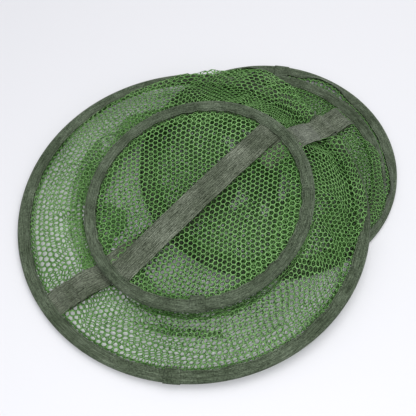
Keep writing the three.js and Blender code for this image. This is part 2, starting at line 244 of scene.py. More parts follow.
def net_cells(columns, rows, strand, keep=None):
    """Points (x, y), their heights (1, 0 or -1) and faces of a sheet of hexagonal cells, in pitches.

    It wraps round in x. Strands are lens-shaped: each corner is raised above and below the
    sheet, and the hole's six points lie in it. keep(x, y) says which cells are in the cut.
    """
    row, column = np.mgrid[-1:rows + 1, 0:columns]
    odd = row % 2 == 1
    x = column + 0.5 * odd
    y = row * SQRT3 / 2
    kept = (row >= 0) & (row < rows)
    if keep:
        kept = kept & keep(x, y)
    at = np.arange(x.size).reshape(x.shape)
    left = np.roll(at, 1, 1)
    right = np.roll(at, -1, 1)

    def step(up, to_right):
        side = np.where(odd, right, at) if to_right else np.where(odd, at, left)
        return side + up * columns

    upper_left, upper_right = step(1, False), step(1, True)
    lower_left, lower_right = step(-1, False), step(-1, True)
    # What lies across the edge from each corner to the next.
    beyond = (upper_left, left, lower_left, lower_right, right, upper_right)
    total = x.size
    # North points are numbered as their cell is, south points follow them.
    corners = np.stack([
        at, upper_left + total, lower_left, at + total, lower_right, upper_right + total,
    ], -1)
    cells = np.flatnonzero(kept.ravel())
    corners = corners.reshape(-1, 6)[cells]
    radius = 1 / SQRT3
    middles = np.stack([x.ravel(), y.ravel()], -1)
    joints = np.concatenate([middles + (0, radius), middles - (0, radius)])
    hole_radius = radius * (1 - strand / PITCH)
    ring = np.stack([np.cos(CORNER_ANGLES), np.sin(CORNER_ANGLES)], -1) * hole_radius
    holes = (middles[cells][:, None] + ring).reshape(-1, 2)
    used, renumbered = np.unique(corners, return_inverse=True)
    corners = renumbered.reshape(-1, 6)
    count = len(used)
    points = np.concatenate([joints[used], joints[used], holes])
    height = np.concatenate([np.ones(count), -np.ones(count), np.zeros(len(holes))])
    hole = 2 * count + np.arange(len(cells) * 6).reshape(-1, 6)
    faces = []
    kept_flat = np.append(kept.ravel(), False)
    for k in range(6):
        j = (k + 1) % 6
        top_a, top_b = corners[:, k], corners[:, j]
        faces.append(np.stack([top_a, top_b, hole[:, j], hole[:, k]], -1))
        faces.append(np.stack([top_b + count, top_a + count, hole[:, k], hole[:, j]], -1))
        open_edge = ~kept_flat[np.clip(beyond[k].ravel()[cells], 0, total)]
        a, b = top_a[open_edge], top_b[open_edge]
        faces.append(np.stack([b, a, a + count, b + count], -1))
    return points, height, np.concatenate(faces).tolist()


NET_HALVINGS = 12    # steps in the search for how deep a net's fold is,
STRAP_HALVINGS = 14  # and a strap's
NO_NORMAL = 1e-9     # shorter than any real normal
RIPPLES_ALONG = 6    # how long a net is to a ripple that runs along it


class Course:
    """How a net runs: a grid of points, round the trap by along the cloth."""

    ROUND = 720
    ALONG = 160

    def __init__(self, path, length, spread, creases):
        """path(bearing, depth) gives rows of control points. depth, the reach of the inward
        fold, is found for each bearing so that the cloth has its length, and then wanders by
        spread, a share of itself. creases is what crumple takes."""
        self.bearing = np.arange(self.ROUND) * TURN / self.ROUND
        low = np.zeros(self.ROUND)
        high = np.full(self.ROUND, length / 2)
        for _ in range(NET_HALVINGS):
            middle = (low + high) / 2
            long = lengths_along(rounded(path(self.bearing, middle)))[:, -1] > length
            high = np.where(long, middle, high)
            low = np.where(long, low, middle)
        depth = (low + high) / 2 * (1 + spread * ripple(self.bearing, 0, 11, (14, 0)))
        smooth = rounded(path(self.bearing, depth))
        self.grid = np.stack([equal_steps(line, self.ALONG) for line in smooth])
        self.crumple(*creases)

    def crumple(self, seed, height, shift, waves):
        """Adds creases of a height and pushes cells about by shift, less so at the sewn edges."""
        along = np.linspace(0, 1, self.ALONG)[None, :]
        bearing = self.bearing[:, None]
        length = along * RIPPLES_ALONG
        up = height * ripple(bearing, length, seed, waves)
        twist = shift * ripple(bearing, length, seed + 1, (9, 2.5))
        inward = shift * ripple(bearing, length, seed + 2, (11, 2.0))
        offset = np.stack([
            -np.sin(bearing) * twist + np.cos(bearing) * inward,
            np.cos(bearing) * twist + np.sin(bearing) * inward,
            up,
        ], -1)
        fade = smoothstep(np.minimum(along, 1 - along), 0.05, 0.16) * (1 - 0.9 * pinned(bearing))
        self.grid = self.grid + offset * fade[..., None]

    def place(self, bearing, along, off):
        """Points at a bearing and a share of the cloth's length, off its surface by off."""
        grid = self.grid
        round_step = np.roll(grid, -1, 0) - np.roll(grid, 1, 0)
        along_step = np.gradient(grid, axis=1)
        normal = np.cross(round_step, along_step)
        normal = normal / np.maximum(np.linalg.norm(normal, axis=2, keepdims=True), NO_NORMAL)
        both = np.concatenate([grid, normal], 2)
        i = (bearing / TURN * self.ROUND) % self.ROUND
        j = np.clip(along, 0, 1) * (self.ALONG - 1)
        i0 = np.floor(i).astype(int) % self.ROUND
        j0 = np.minimum(np.floor(j).astype(int), self.ALONG - 2)
        fi = (i - np.floor(i))[:, None]
        fj = (j - j0)[:, None]
        i1 = (i0 + 1) % self.ROUND
        this_row = lerp(both[i0, j0], both[i0, j0 + 1], fj)
        next_row = lerp(both[i1, j0], both[i1, j0 + 1], fj)
        found = lerp(this_row, next_row, fi)
        return found[:, :3] + found[:, 3:] * off[:, None]


def blend_by_share(piece, share):
    """Writes each vertex's share of the way along the cloth into its height, bakes the piece's
    transform, then puts the vertices back where they were.
    """
    there = np.zeros(len(share) * 3, np.float32)
    pattern = np.zeros_like(there)
    pattern[2::3] = share
    piece.data.vertices.foreach_get("co", there)
    piece.data.vertices.foreach_set("co", pattern)
    piece.data.update()
    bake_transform(piece)
    piece.data.vertices.foreach_set("co", there)
    piece.data.update()


JOINT_WANDER = 0.16       # how far the side nets' joints stray round the trap,
BASE_JOINT_WANDER = 0.13  # and the base net's either way


def side_net(name, course, width, length, lower, upper, strand):
    """A net cut width round by length deep, sewn between two hoops' tapes."""
    columns = round(width / PITCH)
    rows = round(length / (PITCH * SQRT3 / 2))
    points, height, faces = net_cells(columns, rows, strand)
    bearing = points[:, 0] / columns * TURN
    reach = (rows - 1) * SQRT3 / 2 + 2 / SQRT3
    along = (points[:, 1] + 1 / SQRT3) / reach
    random = np.random.RandomState(len(points))
    bearing = bearing + random.normal(0, JOINT_WANDER, len(points)) / (width / TURN)
    net = new_mesh(name, course.place(bearing, along, height * STRAND_RISE), faces)
    if lower is upper:
        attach(net, lower.body)
    else:
        blend_by_share(net, along)
    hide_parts(name)
    return net


# The upper net's slack: bearing, share of it inside the base hoop, and share outside.
UPPER_SLACK = (
    (86, 0.6, 0.4), (98, 0.08, 0.9), (173, 0.08, 0.88), (179, 0.99, 0.01), (195, 0.99, 0.01),
    (201, 0.1, 0.86), (214, 0.1, 0.86), (219, 0.6, 0.4), (230, 0.6, 0.4), (244, 0.04, 0.2),
    (262, 0.04, 0.1), (292, 0.04, 0.08), (308, 0.3, 0.1), (335, 0.4, 0.1), (350, 0.6, 0.38),
)
# And how far it bulges out over the wide hoop's tape, in millimetres.
UPPER_REACH = ((346, 0), (0, 12.5), (45, 13), (50, 22), (54, 36), (60, 43), (67, 40), (74, 31),
               (81, 21), (89, 14), (98, 10), (107, 6), (120, 3), (134, 0))
UPPER_OVER_TAPE = 12.5  # the reach at which the upper net lies fully over the tape
LOWEST_HUNG = 3.0       # the lowest that the slack hanging from the base hoop comes
LOWEST_BACK = 3.2       # and that the slack outside it does
CREASE_HEIGHT = 7.0     # of the ridges across the upper net,
CREASE_WIDTH = 0.35     # and how near a ripple is to 0 on one


def hung(points, drop):
    """The points let down by drop, but not through the floor."""
    lower = points[:, 2] - drop
    return at_height(points, np.maximum(lower, np.minimum(points[:, 2], LOWEST_HUNG)))


def upper_path(bearing, depth):
    """From the wide hoop's slot up to the base hoop, in below its tape, and back to its slot.

    The slack lies inside the base hoop, outside it, or hangs in pleats right below its tape.
    held is 1 under a side strap.
    """
    free = 1 - pinned(bearing)
    held = pinned(bearing, 4.2, 1.6)
    close = 1 - held
    over = along_bearing(bearing, UPPER_REACH) * close * (1 + 0.08 * ripple(bearing, 0, 3, (9, 0)))
    lift = np.minimum(over / UPPER_OVER_TAPE, 1)
    drop = 5.5 * smoothstep(over, 15, 27)
    across = np.minimum(over, 11)
    within = along_bearing(bearing, [row[:2] for row in UPPER_SLACK])
    without = along_bearing(bearing, [row[::2] for row in UPPER_SLACK])
    inside = depth * within
    outside = depth * without * (1 + 0.22 * ripple(bearing, 0, 9, (9, 0)))
    pleat = depth * (1 - within - without) / 2
    edge = BASE.at(BASE.radius + 2.5, bearing, -4.4)
    shoulder = WIDE.at(WIDE.mouth - 9, bearing, 0.9 + (3.7 + 3.0 * lift) * free)
    wave = 2.0 + 2.8 * ripple(bearing, 0, 5, (7, 0)) + 1.2 * ripple(bearing, 0, 6, (22, 0))
    crease = np.maximum(CREASE_WIDTH - np.abs(ripple(bearing, 0, 8, (12, 0))), 0) / CREASE_WIDTH
    wave = wave + CREASE_HEIGHT * crease
    bulge = np.array([0, 0, 1]) * (wave * free)[:, None]
    under = BASE.at(BASE.mouth + 1, bearing, -5.2)
    back = BASE.at(BASE.mouth + 1 + outside, bearing, -7.0)
    back[:, 2] = np.maximum(back[:, 2], LOWEST_BACK)
    return [
        WIDE.at(WIDE.tuck, bearing, NET_IN_SLOT - 0.6 * held),
        *WIDE.line(
            bearing, WIDE.mouth,
            (0, NET_IN_SLOT - 0.6 * held),
            (-2, 1.2 * close + 0.8 * lift),
            (across - 1, 0.2 + 1.5 * close + 2.4 * lift),
            (over - 3 * held, 0.2 + 1.8 * close + 2.0 * lift - drop),
            (over + 1 - 4 * held, 0.3 + 2.0 * close + 2.4 * lift - drop),
            (over - 3 * held, 0.4 + 2.1 * close + 2.9 * lift - drop),
            (across - 1 - 2 * held, 0.5 + 1.9 * close + 3.3 * lift),
        ),
        shoulder,
        lerp(shoulder, edge, 0.35) + bulge,
        lerp(shoulder, edge, 0.75) + bulge * 0.6,
        edge,
        hung(BASE.at(BASE.radius, bearing, -4.6), pleat),
        BASE.at(BASE.radius - 2, bearing, -4.8),
        hung(BASE.at(BASE.radius - 5, bearing, -4.8), pleat),
        BASE.at(BASE.radius - 8, bearing, -4.8),
        under,
        BASE.at(BASE.mouth - 1, bearing, -6.0),
        under - (0, 0, 1.3),
        lerp(under, back, 0.5) - (0, 0, 1.0),
        back,
        back - (0, 0, 0.9),
        lerp(under, back, 0.4) - (0, 0, 2.2),
        *BASE.line(
            bearing, BASE.mouth,
            (-inside * 0.55, -7.6), (-inside, -7.2), (-inside - 2, -5.4), (-inside, -3.8),
            (-inside * 0.5, -3.2), (-2, -1.3),
        ),
        BASE.at(BASE.tuck, bearing, -1.05),
    ]


MIDDLE_TOP = THIRD.centre[2] + 5.3  # height of the slack that lies over the third hoop's tape
NEAR_FLOOR = 1.9                    # and of the middle net where it hangs furthest out


def middle_height(points):
    """Over the third hoop's tape the middle net lies on it; further out it hangs to the floor."""
    away = np.hypot(points[:, 0] - THIRD.centre[0], points[:, 1] - THIRD.centre[1]) - THIRD.radius
    return MIDDLE_TOP - (MIDDLE_TOP - NEAR_FLOOR) * smoothstep(away, 3, 40)


# Each leg's share of the way out, how far a pleat takes it back, its layer there, and its climb.
MIDDLE_LEGS = ((0.15, 0, 0, 0), (0.3, 0, 0, 0), (0.45, 0, 0, 0), (0.71, 0, 0, 0.1), (0.72, 0, 1, 0.1),
               (0.725, 1, 1, 0.1), (0.73, 1, 2, 0.1), (0.8, 0, 2, 0.4), (0.9, 0, 0, 0.8))
# How far the middle net bulges out over the third hoop's tape, in millimetres.
MIDDLE_REACH = ((280, 0), (298, 16.5), (4, 16.5), (11, 11), (17, 0))
MIDDLE_OVER_TAPE = 16.5  # the reach at which it lies fully over the tape
PLEAT_LAYER = 6          # how far up each layer of a pleat stands, for its share of the leg


def middle_path(bearing, depth):
    """From the third hoop's slot, over its tape on the right, in to a fold, out to the wide hoop."""
    over = along_bearing(bearing, MIDDLE_REACH)
    lift = over / MIDDLE_OVER_TAPE
    start = THIRD.at(THIRD.mouth, bearing, NET_IN_SLOT)
    end = WIDE.at(WIDE.mouth, bearing, -NET_IN_SLOT)
    out = outward(bearing)
    inner = smoothstep(((end - start) * out).sum(1), -30, 30)[:, None]
    turn = lerp(end, start, inner) - out * depth[:, None]
    first = THIRD.at(THIRD.mouth - 4 + over * 0.45, bearing, 4.2 + 2.2 * lift)
    pleat = 0.15 * near(bearing, 182, 26, 16) + 0.09 * near(bearing, 258, 10, 12)
    legs = []
    for share, back, layer, climb in MIDDLE_LEGS:
        leg = lerp(turn, end, (share - back * pleat)[:, None])
        height = lerp(middle_height(leg), end[:, 2], climb)
        legs.append(at_height(leg, height + layer * pleat * PLEAT_LAYER))
    return [
        THIRD.at(THIRD.tuck, bearing, NET_IN_SLOT),
        start,
        *THIRD.line(
            bearing, THIRD.mouth,
            (-2.5, 1.8), (over * 0.45 - 2, 2.2 + 2.2 * lift), (over * 0.8 - 1, 2.4 + 1.8 * lift),
            (over, 2.6 - 1.4 * lift), (over, 3.2 - 0.8 * lift), (over * 0.8 - 1, 3.6 + 2.2 * lift),
        ),
        first,
        at_height(lerp(first, turn, 0.4), MIDDLE_TOP - 1.8),
        at_height(turn, MIDDLE_TOP - 1.6),
        at_height(turn - out * 2, MIDDLE_TOP - 0.8),
        at_height(turn, MIDDLE_TOP),
        *legs,
        end,
        WIDE.at(WIDE.tuck, bearing, -NET_IN_SLOT),
    ]


# How far up the lower net stands where it leaves the mouth hoop, in millimetres.
LOWER_HUMP = ((330, 0), (350, 6), (4, 6), (12, 3), (36, 3), (46, 0))


def lower_path(bearing, depth):
    """From the mouth hoop's slot, up in a hump where there is room, in to a fold and back out."""
    tip = MOUTH.mouth - MOUTH.wire
    start = MOUTH.flange(tip, bearing, NET_IN_SLOT)
    end = THIRD.at(THIRD.mouth, bearing, -NET_IN_SLOT)
    out = outward(bearing)
    turn = lerp(MOUTH.at(MOUTH.mouth, bearing, 0), end, 0.5) - out * depth[:, None]
    low, high = MOUTH.centre[2] + 2.2, THIRD.centre[2] - 0.9
    hump = MOUTH.at(MOUTH.mouth - 1.5, bearing, 1.4 + along_bearing(bearing, LOWER_HUMP))
    return [
        MOUTH.flange(MOUTH.tuck - MOUTH.wire, bearing, NET_IN_SLOT),
        start,
        hump,
        at_height(MOUTH.at(MOUTH.mouth - 7, bearing, 0), low - 0.8),
        at_height(MOUTH.at(MOUTH.mouth - 20, bearing, 0), low - 0.6),
        at_height(lerp(start, turn, 0.7), low),
        at_height(turn, low),
        at_height(turn - out * 2, (low + high) / 2),
        at_height(turn, high),
        at_height(lerp(turn, end, 0.4), high),
        end,
        THIRD.at(THIRD.tuck, bearing, -NET_IN_SLOT),
    ]


THROAT_RADIUS = 28.0  # of the throat's open edge
THROAT_KNEE = 50.0    # where it turns, out from the trap's middle
THROAT_LEANS_TO = math.radians(238)
THROAT_REACH = 50.0   # how far that way its open edge lies


def throat_path(bearing, depth):
    """From the mouth hoop's slot in along the floor to a knee; the throat's soft end has flopped
    over sideways and lies flat, so the cloth folds in by depth and out again to its open edge."""
    aside = bearing - THROAT_LEANS_TO
    toward = outward(np.array([THROAT_LEANS_TO]))
    across = outward(np.array([THROAT_LEANS_TO + math.pi / 2]))
    middle = MOUTH.centre - (0, 0, MOUTH.centre[2])
    half_round = math.pi / 2 * THROAT_RADIUS
    end = middle + toward * THROAT_REACH + across * (half_round * np.sin(aside))[:, None]
    layer = 3.0 - 1.5 * np.cos(aside)
    out = outward(bearing)
    knee = THROAT_KNEE + 5 * ripple(bearing, 0, 13, (5, 0))
    turn = middle + out * np.maximum(knee - depth, 3)[:, None]
    return [
        MOUTH.flange(MOUTH.tuck - MOUTH.wire, bearing, -NET_IN_SLOT),
        MOUTH.flange(MOUTH.mouth - MOUTH.wire, bearing, -NET_IN_SLOT),
        *MOUTH.line(bearing, MOUTH.mouth, (-8, -1.6), (-30, -2.0)),
        MOUTH.at(knee, bearing, -2.0),
        at_height(lerp(middle + out * knee[:, None], turn, 0.5), 1.2),
        at_height(turn, 1.4),
        at_height(lerp(turn, end, 0.02), 1.0 + layer * 0.4),
        at_height(lerp(turn, end, 0.3), 1.0 + layer),
        at_height(lerp(turn, end, 0.8), 1.0 + layer),
        at_height(end, 1.2 + layer),
    ]


COURSES = {
    "upper": Course(upper_path, CLOTH, 0.14, (21, 1.2, 1.9, (34, 5))),
    "middle": Course(middle_path, CLOTH, 0.12, (31, 0.8, 3.0, (40, 6))),
    "lower": Course(lower_path, CLOTH, 0.14, (41, 0.8, 2.6, (46, 6))),
    "throat": Course(throat_path, THROAT_CLOTH, 0.2, (51, 0.5, 2.4, (36, 6))),
}
BETWEEN = {"upper": (WIDE, BASE), "middle": (THIRD, WIDE), "lower": (MOUTH, THIRD)}


def make_side_nets():
    """The three side nets and the throat net."""
    nets = []
    for level, (lower, upper) in BETWEEN.items():
        width = math.pi * (lower.tuck + upper.tuck)
        strand = UPPER_STRAND if level == "upper" else LOWER_STRAND
        nets.append(side_net(level + "_side_net", COURSES[level], width, CLOTH, lower, upper, strand))
    width = math.pi * (MOUTH.tuck + THROAT_RADIUS)
    throat = side_net("throat_net", COURSES["throat"], width, THROAT_CLOTH, MOUTH, MOUTH, LOWER_STRAND)
    return [*nets, throat]


BASE_NET_RISE = -0.2  # of its sewn edge
BASE_NET_SAG = 2.6
LATTICE_BEARING = math.radians(24)


def make_base_net():
    """The disc across the base hoop: nearly flat, a little slack, its rows slightly wandering."""
    radius = BASE.tuck
    cells = math.ceil(2 * radius / PITCH) + 4
    rows = math.ceil(cells * 2 / SQRT3)
    middle = np.array([cells / 2, rows * SQRT3 / 4])

    def keep(x, y):
        return np.hypot(x - middle[0], y - middle[1]) * PITCH < radius - PITCH / 2

    points, height, faces = net_cells(cells, rows, BASE_STRAND, keep)
    flat = (points - middle) * PITCH
    random = np.random.RandomState(7)
    flat = flat + random.normal(0, BASE_JOINT_WANDER, flat.shape)
    x, y = flat.T
    wander = np.stack([
        2.2 * np.sin(y / 31 + 1.0) + 1.2 * np.sin((x + y) / 19),
        2.0 * np.sin(x / 37 + 0.4) + 1.1 * np.sin((x - 1.4 * y) / 23 + 2),
    ], -1)
    from_middle = np.hypot(x, y) / radius
    fade = 1 - smoothstep(from_middle, 0.86, 1.0)
    flat = flat + wander * fade[:, None]
    bearing = np.arctan2(flat[:, 1], flat[:, 0])
    rise = -BASE_NET_SAG * (1 - from_middle ** 2)
    rise = rise + 0.7 * ripple(bearing, from_middle * 3, 61, (9, 2)) * fade
    x, y = flat.T
    cos, sin = math.cos(LATTICE_BEARING), math.sin(LATTICE_BEARING)
    up = BASE_NET_RISE + rise + height * STRAND_RISE
    turned = np.stack([x * cos - y * sin, x * sin + y * cos, up], -1)
    net = new_mesh("base_net", turned @ BASE.turn.T + BASE.centre, faces)
    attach(net, BASE.body)
    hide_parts("base_net")
    return net


# ---- Binding tape ----
def swept(name, rows, closed, uv):
    """A solid from rows of outline points. Rows form a ring when closed, or get caps."""
    count, size = rows.shape[:2]
    at = np.arange(count * size).reshape(count, size)
    last = count if closed else count - 1
    a = at[:last]
    c = np.roll(at, -1, 0)[:last]
    b = np.roll(a, -1, 1)
    d = np.roll(c, -1, 1)
    faces = np.stack([a, c, d, b], -1).reshape(-1, 4).tolist()
    if not closed:
        faces.append(at[0].tolist())
        faces.append(at[-1][::-1].tolist())
    piece = new_mesh(name, rows.reshape(-1, 3), faces)
    set_uv(piece, uv.reshape(-1, 2))
    return piece


# From the tape's stitched edge, and up from the face of its flange.
FLANGE = ((0.1, -0.25), (0.35, 0), (1.6, 0.02), (2.1, -0.16), (2.6, 0.02), (4.5, 0.06), (6.6, 0.02))


def tape_profile(slot, swell):
    """The tape's outline: (distance from the wire, rise). Outside first, from the top flange's
    stitched edge round the wire to the bottom flange's, then back along the inside."""
    outside = slot + TAPE_THICKNESS + swell
    edge = TAPE_BULGE - TAPE_WIDTH
    bulge = TAPE_BULGE - 0.05 + swell
    arc = np.radians(np.linspace(132, -132, 17))[:8]
    top = [(edge + r, outside + z) for r, z in FLANGE] + [(-3.3, outside - 0.05)]
    top += [(bulge * math.cos(a), bulge * math.sin(a)) for a in arc]
    outer = top + [(bulge, 0)] + [(r, -z) for r, z in reversed(top)]
    bore = bulge - TAPE_THICKNESS
    inner_arc = np.radians(np.linspace(-140, 140, 11))
    inner = [(edge + 0.1, -slot), (edge + 5, -slot)]
    inner += [(bore * math.cos(a), bore * math.sin(a)) for a in inner_arc]
    inner += [(edge + 5, slot), (edge + 0.1, slot)]
    return np.array(outer + inner)


def on_tape(hoop, bearing, across, rise, seed):
    """Points of a hoop's tape, with the small waves of its stitched edge."""
    share = np.clip((TAPE_BULGE - across) / TAPE_WIDTH, 0, 1)
    loose = smoothstep(share, 0.45, 1.0)
    across = across + loose * 0.6 * ripple(bearing, 0, seed, (46, 0))
    rise = rise + loose * 0.3 * ripple(bearing, 0, seed + 1, (34, 0))
    rise = rise + smoothstep(share, 0.2, 0.5) * 0.14 * ripple(bearing, share * 4, seed + 2, (90, 1))
    return hoop.flange(across, bearing, rise)


def tape_rows(hoop, bearings, swell, overhang, seed):
    """Rows of the tape's outline round the hoop, with its UV. A lap has swell and overhang."""
    profile = tape_profile(hoop.slot, swell)
    edge = TAPE_BULGE - TAPE_WIDTH
    profile[:, 0] -= overhang * smoothstep(-profile[:, 0], 3, -edge)
    bearing = bearings[:, None]
    points = on_tape(hoop, bearing, profile[None, :, 0], profile[None, :, 1], seed)
    uv = np.stack(np.broadcast_arrays(bearing * hoop.radius, lengths_along(profile)[None, :]), -1)
    return points, uv


STITCH_PITCH = 3.4
STITCH_LENGTH = 2.4
STITCH_RADIUS = 0.26
STITCH_FROM_EDGE = 2.1
STITCH_BED = 0.08  # how far in from the tape's face its ends lie
STITCH_SUNK = 0.2  # of its radius, into the cloth
STITCH_SIDES = 6
# Rings along a stitch: share of its length, share of its radius, and lift in radii.
STITCH_RINGS = (
    (0.0, 0.45, -0.6), (0.14, 0.95, -0.15), (0.5, 1.0, 0.1), (0.86, 0.95, -0.15), (1.0, 0.45, -0.6),
)
TAPE_STEP = 2.6     # between rows of a tape's outline
LAP_REACH = 9.0     # of a lap, either side of its middle
LAP_ROWS = 13
LAP_SWELL = 0.85    # how far a lap stands off the tape below,
LAP_OVERHANG = 3.0  # and past its stitched edge


def capsules(name, start, end, up):
    """Short round-ended stitches between rows of points. up is the way each one faces."""
    sides = STITCH_SIDES
    along = end - start
    side = unit(np.cross(unit(along), up))
    rise = np.cross(side, unit(along))
    corners = []
    for share, width, lift in STITCH_RINGS:
        middle = start + along * share + rise * (lift - STITCH_SUNK) * STITCH_RADIUS
        for k in range(sides):
            turn = TURN * k / sides
            way = side * math.cos(turn) + rise * math.sin(turn)
            corners.append(middle + way * width * STITCH_RADIUS)
    points = np.stack(corners, 1)
    first = (np.arange(len(start)) * len(corners))[:, None]
    last = len(corners) - sides
    faces = []
    for ring in range(0, last, sides):
        for k in range(sides):
            a, b = ring + k, ring + (k + 1) % sides
            faces += (first + np.array([a, b, b + sides, a + sides])).tolist()
    faces += (first + np.arange(sides)[::-1]).tolist()
    faces += (first + last + np.arange(sides)).tolist()
    return new_mesh(name, points.reshape(-1, 3), faces)


def make_stitches(hoop, seed):
    """The row of stitches that closes the tape, seen on both of its faces."""
    count = round(TURN * hoop.radius / STITCH_PITCH)
    bearings = np.arange(count) * TURN / count
    half = STITCH_LENGTH / 2 / hoop.radius
    across = np.full(count, TAPE_BULGE - TAPE_WIDTH + STITCH_FROM_EDGE)
    rows = []
    for face in (1, -1):
        rise = np.full(count, face * (hoop.slot + TAPE_THICKNESS - STITCH_BED))
        start, end = [on_tape(hoop, bearings + half * way, across, rise, seed) for way in (-1, 1)]
        lifted = on_tape(hoop, bearings, across, rise + face, seed)
        rows.append((start, end, lifted - (start + end) / 2))
    stitches = capsules(hoop.body + "_stitches", *(np.concatenate(both) for both in zip(*rows)))
    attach(stitches, hoop.body)
    return stitches


def make_tape(hoop, lap_bearing, seed):
    """The webbing folded round a hoop's wire, and the short lap where its two ends meet."""
    steps = round(TURN * hoop.radius / TAPE_STEP)
    bearings = np.arange(steps) * TURN / steps
    rows, uv = tape_rows(hoop, bearings, 0, 0, seed)
    tape = swept(hoop.body + "_tape_cloth", rows, True, uv)
    half = LAP_REACH / hoop.radius
    middle = math.radians(lap_bearing)
    lap_bearings = np.linspace(middle - half, middle + half, LAP_ROWS)
    rows, uv = tape_rows(hoop, lap_bearings, LAP_SWELL, LAP_OVERHANG, seed)
    lap = swept(hoop.body + "_tape_lap", rows, False, uv)
    for piece in (tape, lap):
        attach(piece, hoop.body)
    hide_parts(hoop.body + "_tape")
    return tape, lap


# ---- Straps ----
def strap_outline():
    """Widths and heights of a woven strap's outline, with slightly fuller edges."""
    half = STRAP_WIDTH / 2
    t = STRAP_THICKNESS / 2
    left = [(-half, 0.0), (-half + 0.25, t * 0.8), (-half + 1.0, t * 1.12), (-half + 2.2, t), (-half / 2, t)]
    upper = left + [(0, t)] + [(-x, z) for x, z in reversed(left)]
    lower = [(x, -z) for x, z in reversed(upper[1:-1])]
    return np.array(upper + lower)


STRAP_OUTLINE = strap_outline()
HANDLE_STEPS = 120
SIDE_STRAP_STEPS = 200


def make_strap(name, centre, across, seed, cup=0.0):
    """A strap along a centre line. across is the direction of its width at each point."""
    across = unit(np.broadcast_to(across, centre.shape))
    up = unit(np.cross(unit(np.gradient(centre, axis=0)), across))
    side, rise = STRAP_OUTLINE.T
    length = lengths_along(centre)
    lift = cup * (side / (STRAP_WIDTH / 2)) ** 2
    wave = 0.25 * ripple(length[:, None] / 25, side[None, :] / 12, seed, (4, 2))
    height = rise[None, :] + lift[None, :] + wave
    rows = centre[:, None] + across[:, None] * side[None, :, None] + up[:, None] * height[..., None]
    uv = np.stack(np.broadcast_arrays(length[:, None], side[None, :]), -1)
    return swept(name, rows, False, uv)


HANDLE_TUCK = 1.5  # how far its ends stop short of where the nets are sewn in
HANDLE_IN_SLOT = 0.85
HANDLE_CUP = -0.5  # how far its edges curl down


def make_handle_strap():
    """The strap across the base hoop, its ends in the tape and its middle standing up a little."""
    reach = BASE.tuck - HANDLE_TUCK
    flange = BASE.radius - TAPE_WIDTH - 1
    arch = [(t * flange, HANDLE_RISE * (1 - t * t)) for t in np.linspace(-1, 1, 25)]
    stations = [(-reach, 0.0), *arch, (reach, 0.0)]
    points = [BASE.at(r, HANDLE_BEARING, HANDLE_IN_SLOT + rise) for r, rise in stations]
    across = BASE.turn @ np.array([-math.sin(HANDLE_BEARING), math.cos(HANDLE_BEARING), 0])
    line = equal_steps(rounded(points), HANDLE_STEPS)
    strap = make_strap("handle_strap_webbing", line, across, 71, HANDLE_CUP)
    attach(strap, BASE.body)
    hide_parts("handle_strap")
    return strap


def fitted_line(points_for, length):
    """The smooth line through points_for(depth), with the fold's depth found so it has its length."""
    low, high = 0.0, length / 2
    for _ in range(STRAP_HALVINGS):
        depth = (low + high) / 2
        line = equal_steps(rounded(points_for(depth)), SIDE_STRAP_STEPS)
        if lengths_along(line)[-1] > length:
            high = depth
        else:
            low = depth
    return line


def folded_under_base(bearing, depth):
    """The last of an upper strap: in below the base hoop's tape, back on itself and into its slot."""
    return [
        BASE.at(BASE.radius + 1.5, bearing, -4.0),
        *BASE.line(
            bearing, BASE.mouth,
            (1, -3.9), (-depth, -6.3), (-depth - 2, -5.2), (-depth, -4.1), (-1, -1.4),
        ),
        BASE.at(BASE.tuck, bearing, -0.3),
    ]


ASKEW = math.radians(5)


def upper_right_strap(bearing, depth):
    """Sewn to the wide hoop's outer edge, it crosses the tape and runs up askew to the base hoop."""
    foot = WIDE.at(WIDE.radius - 20, bearing, 3.4)
    askew = bearing - ASKEW
    top = BASE.at(BASE.radius + 1.5, askew, -3.4)
    rises = ((0.2, 1.8), (0.45, 2.2), (0.7, 2.0), (0.9, 1.2))
    arch = [lerp(foot, top, t) + (0, 0, rise) for t, rise in rises]
    return [
        *WIDE.line(
            bearing, WIDE.radius,
            (1.3, 0), (1.1, 2.6), (-1.0, 4.3), (-4.5, 4.3), (-7.5, 2.5), (-13.0, 2.7),
        ),
        foot,
        *arch,
        *folded_under_base(askew, depth),
    ]


def upper_left_strap(bearing, depth):
    """Tucked into the wide hoop's slot, it lies over the net with two creases across it."""
    foot = WIDE.at(WIDE.mouth - 3, bearing, 1.4)
    top = BASE.at(BASE.radius + 2, bearing, -4.0)
    creases = ((0.08, 1.8), (0.16, 4.6), (0.2, 1.2), (0.24, 1.6), (0.34, 4.4), (0.38, 1.2), (0.44, 2.6),
               (0.6, 5.0), (0.8, 4.0))
    lying = [lerp(foot, top, t) + (0, 0, rise) for t, rise in creases]
    return [
        WIDE.at(WIDE.tuck, bearing, 0.35),
        WIDE.at(WIDE.mouth, bearing, 0.6),
        foot,
        *lying,
        *folded_under_base(bearing, depth),
    ]


def middle_right_strap(bearing, depth):
    """From the third hoop's slot in below the wide hoop, folded back, and up to its outer edge."""
    return [
        THIRD.at(THIRD.tuck, bearing, 0.2),
        *THIRD.line(bearing, THIRD.mouth, (0, 0.7), (-6, 6.6)),
        *WIDE.line(bearing, WIDE.radius, (14, -2.3), (4, -2.0)),
        *WIDE.line(bearing, WIDE.mouth - depth, (0, -6.0), (-2, -5.2), (0, -4.4)),
        *WIDE.line(bearing, WIDE.radius, (-4, -4.2), (0.6, -3.0), (1.3, -0.6)),
    ]


